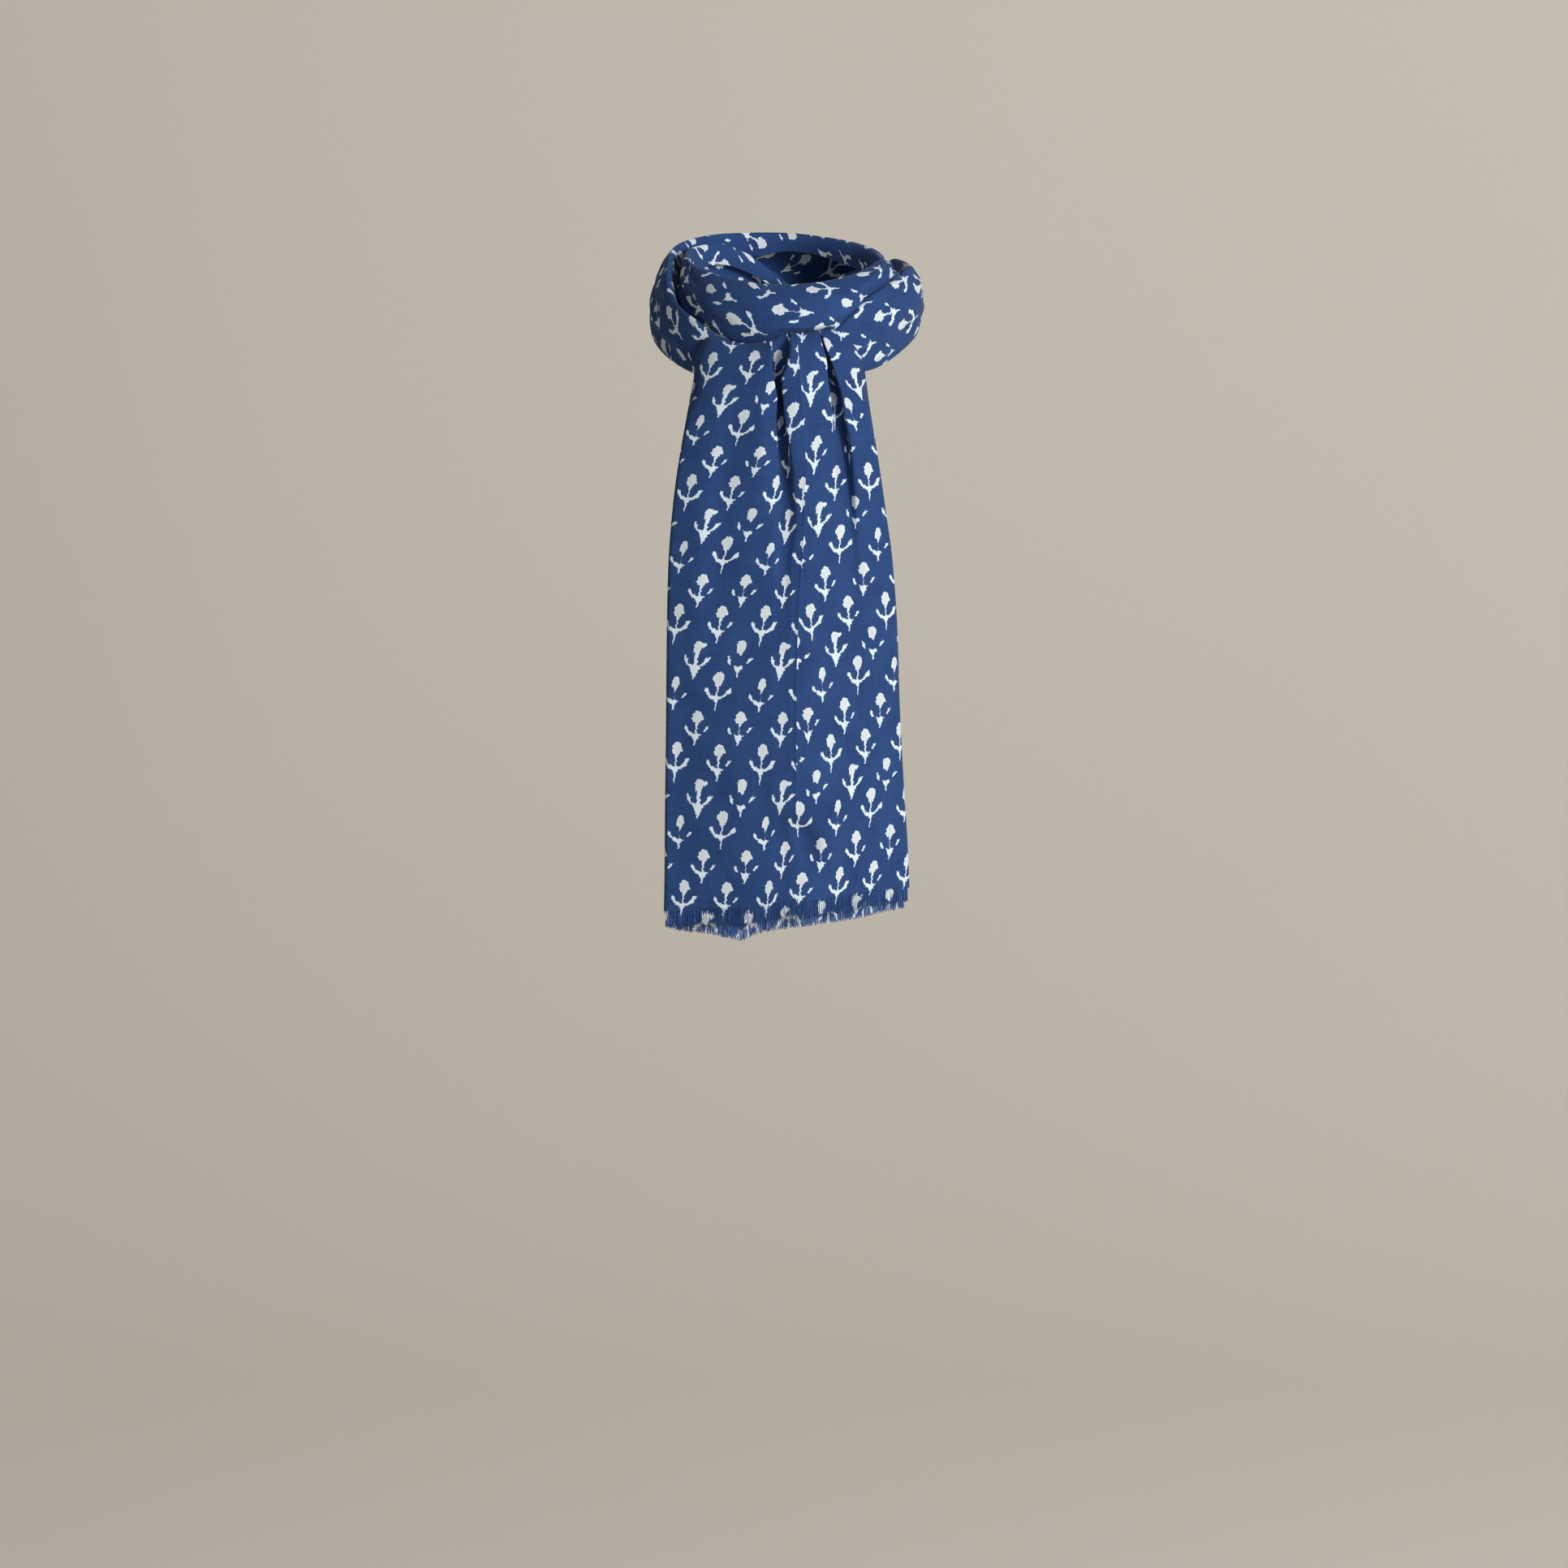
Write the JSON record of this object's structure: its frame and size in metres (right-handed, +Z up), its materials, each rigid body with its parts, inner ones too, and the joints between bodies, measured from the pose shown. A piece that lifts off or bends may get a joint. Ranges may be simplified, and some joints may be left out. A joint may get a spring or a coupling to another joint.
{
  "type": "printed scarf, wound round a neck",
  "caption": "Light cotton scarf with an indigo sprig print, wound twice round a neck and held by its wearer, both fringed tails hanging in front.",
  "frame": {"origin": "centre of the neck opening, level with the top folds of the cloth round the neck", "axes": "+Z up, -Y to the front of the wearer, where both tails hang, +X to the right of someone who faces the wearer"},
  "size_m": [0.1869, 0.2263, 0.4522],
  "materials": {
    "printed_cotton": "matt plain-weave cotton, indigo ground with an off-white sprig print",
    "cotton_fringe": "loose cotton threads left by the frayed hem"
  },
  "bodies": {
    "root": {"neck_turn": "printed_cotton", "left_turn": "printed_cotton", "right_turn": "printed_cotton", "front_tail": "printed_cotton", "back_tail": "printed_cotton", "front_fringe": "cotton_fringe", "back_fringe": "cotton_fringe"}
  },
  "joints": []
}
